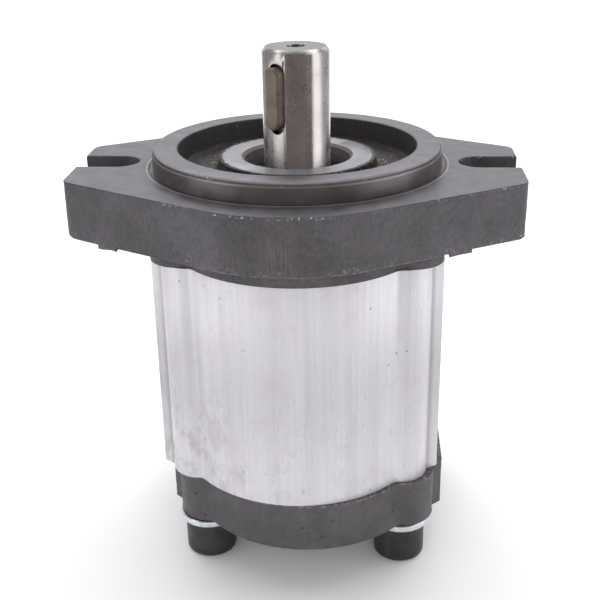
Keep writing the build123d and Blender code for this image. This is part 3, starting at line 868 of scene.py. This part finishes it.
def soften(
    mesh: Mesh, edges: Sequence[Edge], width: float, segments: int = 2
) -> None:
    """Round edges by a width in millimetres, in a number of steps, so that they catch the light."""
    bmesh.ops.bevel(
        mesh,
        geom=list(edges),
        offset=width * MM,
        offset_type="OFFSET",
        segments=segments,
        profile=0.5,
        affect="EDGES",
        clamp_overlap=True,
        material=-1,
    )


def small_ring(mesh: Mesh, radius: float, sides: int, place: Colour) -> list[Vert]:
    """Add a small upright ring of points, ready to be swept round Z.

    Args:
        mesh: Mesh that receives it.
        radius: Radius in millimetres.
        sides: Number of points.
        place: Middle of the ring, millimetres.

    Returns:
        The points.
    """
    ring = bmesh.ops.create_circle(mesh, cap_ends=False, radius=radius * MM, segments=sides)["verts"]
    bmesh.ops.rotate(mesh, verts=ring, cent=(0, 0, 0), matrix=Matrix.Rotation(math.pi / 2, 3, "X"))
    bmesh.ops.translate(mesh, verts=ring, vec=Vector(place) * MM)
    return ring


@dataclass
class Chips:
    """Drops flat chips on a mesh, each turned and tilted by chance."""

    mesh: Mesh
    dice: random.Random
    middle_y: float = 0.0
    tilt: float = 0.6
    thick: float = 0.4

    def drop(self, angle: float, radius: float, height: float, size: float) -> None:
        """Add one chip.

        Args:
            angle: Bearing in radians.
            radius: Distance from the middle, millimetres.
            height: Height in millimetres.
            size: Half its length, millimetres.
        """
        x, y = math.cos(angle) * radius, math.sin(angle) * radius + self.middle_y
        spot = Matrix.Translation(Vector((x, y, height)) * MM)
        turn = Matrix.Rotation(self.dice.uniform(0, math.tau), 4, "Z")
        turn = turn @ Matrix.Rotation(self.dice.uniform(-self.tilt, self.tilt), 4, "X")
        wide = size * self.dice.uniform(0.4, 0.9)
        flat = Matrix.Diagonal((size * MM, wide * MM, size * self.thick * MM, 1.0))
        bmesh.ops.create_icosphere(self.mesh, subdivisions=1, radius=1.0, matrix=spot @ turn @ flat)


@dataclass
class CastSkin:
    """Gives a machined-looking copy of a casting its uneven skin."""

    step: float = 1.2
    depth: float = 0.30
    lump: float = 5.0
    seed: float = 3.7
    sliver: float = 0.06
    steep: float = 0.35

    def slice_up(self, mesh: Mesh, wanted: Callable[[Face], bool]) -> None:
        """Cut the chosen faces into small cells.

        Args:
            mesh: Mesh to cut.
            wanted: Test of a face.
        """
        for axis in range(3):
            places = [vert.co[axis] for face in mesh.faces if wanted(face) for vert in face.verts]
            low, high = min(places), max(places)
            normal = Vector([1.0 if part == axis else 0.0 for part in range(3)])
            count = int((high - low) / (self.step * MM))
            for number in range(1, count + 1):
                at = low + number * (high - low) / (count + 1)
                faces = [face for face in mesh.faces if wanted(face)]
                parts = {item for face in faces for item in (face, *face.edges, *face.verts)}
                bmesh.ops.bisect_plane(
                    mesh, geom=list(parts), dist=CUT_GAP, plane_co=normal * at, plane_no=normal
                )
        near = {vert for face in mesh.faces if wanted(face) for vert in face.verts}
        bmesh.ops.remove_doubles(mesh, verts=list(near), dist=self.sliver * MM)

    def hollow_at(self, place: Vector) -> float:
        """How deep the skin is sunk at a place.

        Args:
            place: Point on the skin, metres.

        Returns:
            Depth in metres, never negative.
        """
        spot = place / (self.lump * MM) + Vector((self.seed, 0.0, 0.0))
        coarse = noise.noise(spot) * 0.5 + 0.5
        fine = noise.noise(spot * 4.1) * 0.5 + 0.5
        return max(0.0, 0.65 * coarse + 0.35 * fine) * self.depth * MM

    def roughen(self, mesh: Mesh, wanted: Callable[[Face], bool]) -> None:
        """Cut the mesh into triangles and sink the chosen faces unevenly along their normals.

        Args:
            mesh: Mesh to change.
            wanted: Test of a face.
        """
        bmesh.ops.triangulate(mesh, faces=mesh.faces)
        mesh.normal_update()
        ways: dict[Vert, Vector] = {}
        for face in mesh.faces:
            if wanted(face):
                for vert in face.verts:
                    ways[vert] = ways.get(vert, Vector()) + face.normal
        for vert, way in ways.items():
            if way.length > 0.1:
                vert.co -= way.normalized() * self.hollow_at(vert.co)


# ---- sub-assemblies ----
@dataclass
class MountingFlange:
    """Front flange: the casting with its uneven skin, ragged lips and recess debris."""

    shop: Paintshop
    face_r: float = 42.8
    rim_r: float = FlangeIron.rim_r
    rim_z: float = 5.45
    boss_r: float = FlangeIron.boss_r
    boss_z: float = 2.07
    floor_z: float = -1.5
    slot_x: float = 45.0
    slot_half: float = 6.2
    skirt_r: float = 36.5
    skirt_y: float = 2.2
    skirt_z: float = -8.2
    bottom_z: float = -25.2
    under_z: float = -15.9
    sag_x: float = 36.0
    sag_r: float = 39.0
    sag_height: float = 1.2
    sag_left: float = 0.35
    sag_waves: Span = (0.55, 0.22)
    arc_r: float = 42.0
    arc_y: float = -9.9
    arc_half: float = 30.6
    fin_r: float = 0.26
    fin_z: float = -15.72
    fin_steps: int = 44
    lip_r: float = 0.30

    def is_side(self, face: Face) -> bool:
        """Whether a face is one of the plate's or skirt's cast sides.

        Args:
            face: Face of the casting.

        Returns:
            True for a cast side.
        """
        x, y, z = (part / MM for part in face.calc_center_median())
        on_plate = math.hypot(x, y) > self.face_r
        on_skirt = z < self.skirt_z and math.hypot(x, y - self.skirt_y) > self.skirt_r
        in_slot = abs(y) < self.slot_half and abs(x) > self.slot_x
        upright = self.bottom_z < z < -NEAR and abs(face.normal.z) < CastSkin.steep
        return (on_plate or on_skirt) and upright and not in_slot

    def build_casting(self) -> Thing:
        """Copy the CAD casting, round its edges and roughen its sides."""
        mesh = merged_copy("mounting_flange")
        outer = sharp_edges(mesh, lambda at: level_with(at, 0.0) and at.xy.length > self.face_r * MM)
        soften(mesh, outer, 0.35)
        inner = sharp_edges(
            mesh, lambda at: level_with(at, self.rim_z) and abs(at.xy.length - self.rim_r * MM) < 0.3 * MM
        )
        soften(mesh, inner, 0.5, 3)
        skin = CastSkin(step=1.3, depth=0.24, lump=3.4)
        skin.slice_up(mesh, self.is_side)
        self.sag(mesh)
        skin.roughen(mesh, self.is_side)
        return piece_in_place(mesh, "flange_casting", "mounting_flange")

    def sag(self, mesh: Mesh) -> None:
        """Let the ears' cast undersides hang unevenly and round off the pads under them.

        Args:
            mesh: Casting whose sides are already cut into cells.
        """
        low = (self.under_z + self.sag_height) * MM
        for vert in mesh.verts:
            x, y, z = vert.co
            on_edge = (self.under_z - 1.0) * MM < z < low
            if on_edge and abs(x) > self.sag_x * MM and math.hypot(x, y) > self.sag_r * MM:
                share = min(1.0, (low - z) / (self.sag_height * MM))
                wave = noise.noise(Vector((x * 210.0, 4.2, 0.7)))
                wave += 0.5 * noise.noise(Vector((x * 520.0, 1.2, 3.3)))
                drop = self.sag_left + self.sag_waves[0] * wave if x < 0 else self.sag_waves[1] * wave
                vert.co.z -= drop * share * MM

    def build_boss_lip(self) -> Thing:
        """Ragged burr round the top edge of the boss."""
        mesh = bmesh.new()
        small_ring(mesh, self.lip_r, 8, (self.boss_r, 0.0, self.boss_z - 0.32))
        bmesh.ops.spin(
            mesh, geom=mesh.verts[:] + mesh.edges[:], cent=(0, 0, 0), axis=(0, 0, 1),
            angle=math.tau, steps=260, use_merge=True,
        )
        for vert in mesh.verts:
            around = Vector((vert.co.x, vert.co.y, 0)).normalized()
            wave = noise.noise(around * 9.0) + 0.6 * noise.noise(around * 27.0)
            vert.co += around * (wave * 0.22 - 0.10) * MM
        bmesh.ops.remove_doubles(mesh, verts=mesh.verts, dist=CUT_GAP / 10)
        bmesh.ops.recalc_face_normals(mesh, faces=mesh.faces)
        return piece_from(mesh, "boss_lip", 80.0)

    def build_debris(self) -> Thing:
        """Small chips and sand grains left in the recess, thickest in three places."""
        dice = random.Random(11)
        chips = Chips(bmesh.new(), dice)
        for _ in range(170):
            radius = dice.uniform(self.boss_r + 1.0, self.rim_r - 1.2)
            chips.drop(dice.uniform(0, math.tau), radius, self.floor_z, dice.uniform(0.10, 0.30))
        heaps = ((124.0, 31.8, 9.0, 46), (172.0, 24.6, 7.0, 34), (11.0, 24.6, 8.0, 34))
        for bearing, middle, spread, count in heaps:
            for _ in range(count):
                angle = math.radians(dice.gauss(bearing, spread))
                radius = min(self.rim_r - 0.9, max(self.boss_r + 0.8, dice.gauss(middle, 1.1)))
                chips.drop(angle, radius, self.floor_z + dice.uniform(0.0, 0.6), dice.uniform(0.12, 0.38))
        for bearing, spread, count in ((-52.0, 9.0, 44), (-14.0, 7.0, 16), (-128.0, 12.0, 14)):
            for _ in range(count):
                angle = math.radians(dice.gauss(bearing, spread))
                radius = self.boss_r + dice.uniform(-0.25, 0.25)
                chips.drop(angle, radius, self.boss_z - dice.uniform(0.1, 0.9), dice.uniform(0.10, 0.26))
        return piece_from(chips.mesh, "recess_debris", 20.0)

    def sweep_fin(self, mesh: Mesh, middle: Vector) -> None:
        """Sweep a thin rod along the front arc and on along both flanks.

        Args:
            mesh: Empty mesh that receives it.
            middle: Centre of the front arc.
        """
        half = math.radians(self.arc_half)
        ring = small_ring(mesh, self.fin_r, 6, (self.arc_r - 0.62, 0.0, self.fin_z))
        turn = Matrix.Rotation(-math.pi / 2 - half, 3, "Z")
        bmesh.ops.rotate(mesh, verts=ring, cent=(0, 0, 0), matrix=turn)
        bmesh.ops.translate(mesh, verts=ring, vec=middle)
        first = mesh.edges[:]
        swept = bmesh.ops.spin(
            mesh, geom=mesh.verts[:] + first, cent=middle, axis=(0, 0, 1), angle=2 * half, steps=150
        )
        last = [item for item in swept["geom_last"] if isinstance(item, Edge)]
        for edges, side in ((first, -1), (last, 1)):
            way = Vector((side * math.cos(half), math.sin(half), 0.0)) * 0.5 * MM
            for _ in range(self.fin_steps):
                grown = bmesh.ops.extrude_edge_only(mesh, edges=edges)["geom"]
                fresh = {item for item in grown if isinstance(item, Vert)}
                lines = [item for item in grown if isinstance(item, Edge)]
                edges = [edge for edge in lines if fresh.issuperset(edge.verts)]
                bmesh.ops.translate(mesh, verts=list(fresh), vec=way)

    def build_flash(self) -> Thing:
        """Thin ragged fin left by the mould joint along the plate's lower front edge."""
        mesh = bmesh.new()
        middle = Vector((0.0, self.arc_y * MM, 0.0))
        self.sweep_fin(mesh, middle)
        for vert in mesh.verts:
            out = (vert.co - middle).normalized()
            wave = noise.noise(vert.co * 420.0) + 0.7 * noise.noise(vert.co * 1500.0)
            fade = 1.0 - 0.5 * abs(vert.co.x) / 0.04
            vert.co += Vector((out.x, out.y, -0.35 * wave)) * (wave * 0.50 - 0.16) * fade * MM
        bmesh.ops.recalc_face_normals(mesh, faces=mesh.faces)
        dice = random.Random(23)
        chips = Chips(mesh, dice, self.arc_y)
        for bearing, spread, count in ((-89.0, 1.4, 9), (-74.0, 3.0, 22), (-97.0, 8.0, 12), (-58.0, 4.0, 8)):
            for _ in range(count):
                angle = math.radians(max(-119.0, min(-61.0, dice.gauss(bearing, spread))))
                height = self.fin_z + dice.gauss(0.1, 0.22)
                chips.drop(angle, self.arc_r - 0.42, height, dice.uniform(0.12, 0.34))
        return piece_from(mesh, "flange_fin", 20.0)

    def build_nicks(self) -> Thing:
        """Bright burrs knocked up on the pilot's chamfer and rim."""
        dice = random.Random(5)
        chips = Chips(bmesh.new(), dice)
        for bearing, radius, height in (
            (-120.2, 40.4, 5.15), (-119.0, 40.6, 4.9), (-91.7, 41.0, 4.6),
            (-62.0, 40.7, 4.8), (176.0, 39.5, 5.4), (-160.0, 39.0, 5.4),
        ):
            for _ in range(6):
                angle = math.radians(bearing + dice.gauss(0, 0.5))
                chips.drop(angle, radius + dice.gauss(0, 0.25), height, dice.uniform(0.2, 0.45))
        return piece_from(chips.mesh, "pilot_nicks", 20.0)

    def build(self) -> None:
        """Build and dress the flange's pieces."""
        self.shop.fit(self.build_casting(), "flange_iron")
        self.shop.fit(self.build_boss_lip(), "flange_iron")
        self.shop.fit(self.build_debris(), "flange_iron", "bare_chips")
        self.shop.fit(self.build_nicks(), "flange_iron", "bare_chips")
        self.shop.fit(self.build_flash(), "flange_iron", "fin_iron")


@dataclass
class RearCover:
    """Rear cover casting with a pitted, uneven skin."""

    shop: Paintshop
    top_z: float = CoverIron.joint_z
    bottom_z: float = -109.6
    middle: Span = (1.9, 18.0)
    outline_r: float = 36.0
    hole_x: float = 30.0
    hole_shift_x: float = 1.2
    hole_ys: Span = (-12.2, 48.2)
    hole_r: float = 6.2

    def is_side(self, face: Face) -> bool:
        """Whether a face is one of the cover's cast sides.

        Args:
            face: Face of the casting.

        Returns:
            True for a cast side.
        """
        at = face.calc_center_median()
        x, y, z = (part / MM for part in at)
        across = abs(x - self.hole_shift_x) - self.hole_x
        in_hole = min(math.hypot(across, y - hole_y) for hole_y in self.hole_ys) < self.hole_r
        upright = self.bottom_z + 1.0 < z < self.top_z - NEAR and abs(face.normal.z) < CastSkin.steep
        return upright and not in_hole and self.is_outside(at)

    def is_outside(self, at: Vector) -> bool:
        """Whether a point lies near the cover's outline."""
        return (at.xy - Vector(self.middle) * MM).length > self.outline_r * MM

    def build(self) -> None:
        """Build and dress the cover."""
        mesh = merged_copy("rear_cover")
        top = sharp_edges(mesh, lambda at: level_with(at, self.top_z) and self.is_outside(at))
        soften(mesh, top, 0.3)
        skin = CastSkin(step=1.3, depth=0.30, lump=4.0, seed=9.1)
        skin.slice_up(mesh, self.is_side)
        skin.roughen(mesh, self.is_side)
        self.shop.fit(piece_in_place(mesh, "cover_casting", "rear_cover"), "cover_iron")


@dataclass
class PortThread:
    """Thread ridge inside one side port, sized and placed by the port's mount."""

    shop: Paintshop
    mount: dict[str, Any]
    pitch: float = 1.81
    ridge: float = 0.75
    root: float = 0.25
    crest_half: float = 0.12
    lead_in: float = 1.0
    run_out: float = 1.5
    steps: int = 48

    def build(self) -> None:
        """Build and dress the thread."""
        mesh = bmesh.new()
        radius, depth = self.mount["dims"]["r_mm"], self.mount["dims"]["length_mm"]
        x, y, z = self.mount["pos_m"]
        side = math.copysign(1.0, x)
        half = self.pitch * 0.42
        foot, crest = radius + self.root, radius - self.ridge
        outline = ((foot, -half), (crest, -self.crest_half), (crest, self.crest_half), (foot, half))
        verts = [mesh.verts.new((0.0, out * MM, along * MM)) for out, along in outline]
        edges = [mesh.edges.new(pair) for pair in zip(verts, verts[1:] + verts[:1])]
        turns = (depth - self.run_out) / self.pitch
        bmesh.ops.spin(
            mesh, geom=verts + edges, cent=(0, 0, 0), axis=(0, 0, 1),
            dvec=(0, 0, self.pitch * MM / self.steps), angle=math.tau * turns, steps=int(self.steps * turns),
        )
        bmesh.ops.holes_fill(mesh, edges=mesh.edges[:], sides=4)
        bmesh.ops.recalc_face_normals(mesh, faces=mesh.faces)
        start = abs(x) - (depth / 2 - self.lead_in) * MM
        place = Matrix.Translation(Vector((side * start, y, z)))
        turn = Matrix.Rotation(-side * math.pi / 2, 4, "Y")
        bmesh.ops.transform(mesh, matrix=place @ turn, verts=mesh.verts)
        self.shop.fit(piece_from(mesh, self.mount["name"].replace("port", "thread")), "body_aluminium")


@dataclass
class NodeEdges:
    """Rounds the edges of CAD nodes that keep their own shape."""

    widths: dict[str, float]

    def build(self) -> None:
        """Add the rounding modifiers."""
        for node, width in self.widths.items():
            thing = frame["nodes"][node]
            weld = thing.modifiers.new("joined", "WELD")
            weld.merge_threshold = WELD_GAP
            edge = thing.modifiers.new("rounded", "BEVEL")
            edge.width = width * MM
            edge.segments = 2
            edge.limit_method = "ANGLE"
            edge.angle_limit = math.radians(40)
            LOG.info("node %s has edges rounded by %.2f mm", node, width)


# ---- studio ----
@dataclass
class SoftBox:
    """Rectangular soft light."""

    name: str
    place: tuple[float, float, float]
    aim: tuple[float, float, float]
    width: float
    height: float
    radiance: float
    shine: bool = True

    def build(self) -> None:
        """Place the light."""
        data = bpy.data.lights.new(self.name, "AREA")
        data.shape = "RECTANGLE"
        data.size, data.size_y = self.width, self.height
        data.energy = self.radiance * math.pi * self.width * self.height
        light = bpy.data.objects.new(self.name, data)
        light.location = self.place
        way = Vector(self.aim) - Vector(self.place)
        light.rotation_euler = way.to_track_quat("-Z", "Y").to_euler()
        light.visible_glossy = self.shine
        bpy.context.scene.collection.objects.link(light)
        LOG.info("light %s placed", self.name)


@dataclass
class DarkCard:
    """Upright dark card that only polished surfaces show, to give them their dark bands."""

    name: str
    start: Span
    end: Span
    tone: float
    tint: Colour = (1.0, 0.82, 0.78)
    height: float = 0.9

    def build(self, floor_z: float) -> None:
        """Stand the card on the floor.

        Args:
            floor_z: Height of the floor in metres.
        """
        mesh = bmesh.new()
        start, end = Vector(self.start), Vector(self.end)
        grid = bmesh.ops.create_grid(mesh, x_segments=1, y_segments=1, size=0.5)["verts"]
        bmesh.ops.scale(mesh, verts=grid, vec=((end - start).length, self.height, 1.0))
        bearing = math.atan2(*reversed(end - start))
        turn = Matrix.Rotation(bearing, 3, "Z") @ Matrix.Rotation(math.pi / 2, 3, "X")
        bmesh.ops.rotate(mesh, verts=grid, cent=(0, 0, 0), matrix=turn)
        bmesh.ops.translate(mesh, verts=grid, vec=(*((start + end) / 2), floor_z + self.height / 2))
        card = piece_from(mesh, self.name)
        bench = ShaderBench(f"{self.name}_cloth")
        light, dark = (tuple(self.tone * share * part for part in self.tint) for share in (1.0, 0.8))
        card.data.materials.append(bench.done(bench.mix(bench.cloud(3.0, 3.0), dark, light), 0.0, 0.9))
        for rays in ("camera", "diffuse", "shadow", "transmission"):
            setattr(card, f"visible_{rays}", False)
        card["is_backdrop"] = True


@dataclass
class Studio:
    """Pale floor, soft lights, surroundings and camera."""

    floor_z: float
    floor_size: float = 12.0
    eye: tuple[float, float, float] = (20.17, -286.89, 77.63)
    bearing: float = -4.006
    dip: float = 22.801
    roll: float = -0.966
    lens: float = 61.62
    horizon: Colour = (0.84, 0.84, 0.86)
    overhead: Colour = (0.22, 0.22, 0.24)
    dimming: Span = (0.45, 0.8)

    def build_floor(self) -> None:
        """Lay the floor."""
        mesh = bmesh.new()
        bmesh.ops.create_grid(mesh, x_segments=1, y_segments=1, size=self.floor_size / 2)
        bmesh.ops.translate(mesh, verts=mesh.verts, vec=(0, 0, self.floor_z))
        floor = piece_from(mesh, "floor")
        bench = ShaderBench("pale_floor")
        floor.data.materials.append(bench.done((0.97, 0.97, 0.972), 0.0, 0.9))
        floor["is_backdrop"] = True

    def build_surroundings(self) -> None:
        """Give the world a bright horizon and a dimmer top."""
        world = bpy.data.worlds.new("studio")
        bpy.context.scene.world = world
        world.use_nodes = True
        bench = NodeBench(world.node_tree)
        way = bench.node("TexCoord", {}).outputs["Generated"]
        height = bench.ramp(bench.node("SeparateXYZ", {0: way}).outputs[2], *self.dimming)
        glow = bench.node("Background", {"Color": bench.mix(height, self.horizon, self.overhead)})
        bench.node("OutputWorld", {"Surface": glow.outputs[0]})

    def build_lights(self) -> None:
        """Place the soft boxes."""
        boxes = (
            SoftBox("overhead", (0.0, 2.75, 3.0), (0, 2.75, 0), 7.0, 5.8, 2.1),
            SoftBox("right_side", (0.84, -0.16, 0.30), (0, 0, 0.0), 0.45, 1.0, 0.62),
            SoftBox("left_side", (-0.80, -0.34, 0.30), (0, 0, 0.0), 0.46, 1.0, 0.66),
            SoftBox("front_fill", (0.05, -1.3, 0.10), (0, 0, -0.06), 1.7, 1.0, 1.45, shine=False),
        )
        for box in boxes:
            box.build()

    def build_camera(self) -> None:
        """Place the camera at its eye point, tilt and roll."""
        bearing, dip, roll = (math.radians(value) for value in (self.bearing, self.dip, self.roll))
        ahead = Vector((math.sin(bearing) * math.cos(dip), math.cos(bearing) * math.cos(dip), -math.sin(dip)))
        level = Vector((math.cos(bearing), -math.sin(bearing), 0.0))
        rise = level.cross(ahead)
        right = level * math.cos(roll) + rise * math.sin(roll)
        up = rise * math.cos(roll) - level * math.sin(roll)
        data = bpy.data.cameras.new("camera")
        data.lens = self.lens
        data.sensor_width = 36.0
        data.sensor_fit = "HORIZONTAL"
        data.clip_start = 0.01
        data.clip_end = 50.0
        camera = bpy.data.objects.new("camera", data)
        bpy.context.scene.collection.objects.link(camera)
        turn = Matrix((right, up, -ahead)).transposed().to_4x4()
        camera.matrix_world = Matrix.Translation(Vector(self.eye) * MM) @ turn
        bpy.context.scene.camera = camera

    def build(self) -> None:
        """Build the whole studio."""
        self.build_floor()
        self.build_surroundings()
        self.build_lights()
        cards = (
            DarkCard("front_card", (-0.275, -0.31), (0.46, -0.31), 0.115),
            DarkCard("left_card", (-0.72, -0.26), (-0.52, 0.66), 0.24, (1.0, 0.97, 1.04)),
            DarkCard("right_card", (0.72, 0.15), (0.50, 0.68), 0.36, (1.0, 0.97, 1.04)),
        )
        for card in cards:
            card.build(self.floor_z)
        self.build_camera()
        bpy.context.scene.view_settings.view_transform = "Standard"


def main() -> None:
    """Build the pump's visual model and its studio."""
    logging.basicConfig(level=logging.INFO, format="%(name)s: %(message)s")
    cad_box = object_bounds()
    shop = Paintshop()
    shop.dress_nodes()
    MountingFlange(shop).build()
    RearCover(shop).build()
    mounts = {mount["name"]: mount for mount in frame["record"]["mounts"]}
    for port in ("inlet_port", "outlet_port"):
        PortThread(shop, mounts[port]).build()
    NodeEdges(EDGE_WIDTHS).build()
    lowest = min(corner[2] for corner in cad_box)
    Studio(floor_z=lowest).build()


if __name__ == "__main__":
    main()
